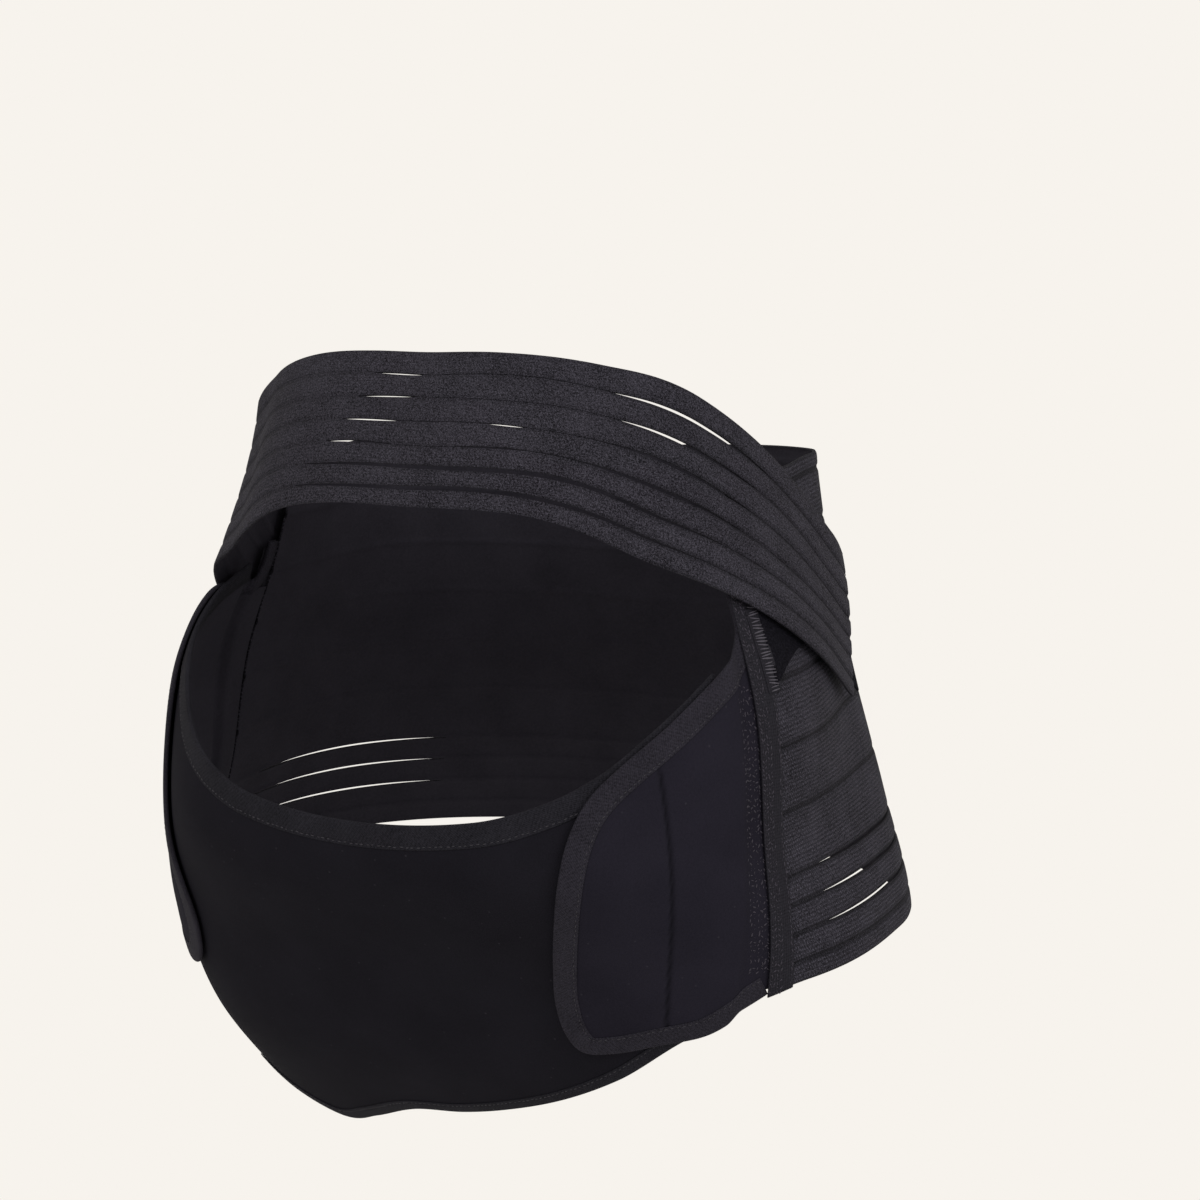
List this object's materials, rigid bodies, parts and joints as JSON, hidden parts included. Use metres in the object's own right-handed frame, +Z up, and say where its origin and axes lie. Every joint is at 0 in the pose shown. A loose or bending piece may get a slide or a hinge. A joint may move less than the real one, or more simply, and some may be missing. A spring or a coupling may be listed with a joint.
{
  "type": "maternity support belt",
  "caption": "Wrap-round black belly support belt as worn: ribbed upper band, smooth front panel with side wings, ribbed back panel, open hollow for the trunk.",
  "frame": {"origin": "middle of the waist on the trunk's middle line, at the height of the navel", "axes": "+Z up along the trunk, -Y the way the wearer faces, +X the wearer's left"},
  "size_m": [0.3801, 0.3383, 0.4038],
  "materials": {
    "ribbed_elastic": "matt ribbed webbing",
    "smooth_panel": "matt foam-backed knit",
    "binding": "soft woven binding",
    "pile": "brushed loop pile"
  },
  "bodies": {
    "root": {"back_panel": "ribbed_elastic", "upper_band": "ribbed_elastic", "front_panel": "smooth_panel", "wing_left": "smooth_panel", "wing_right": "smooth_panel", "front_top_binding": "binding", "front_hem_binding": "binding", "wing_binding_left": "binding", "wing_binding_right": "binding", "side_tape_left": "binding", "side_tape_right": "binding", "loop_patch_left": "pile", "loop_patch_right": "pile", "band_hook_left": "pile", "band_hook_right": "pile"}
  },
  "joints": []
}
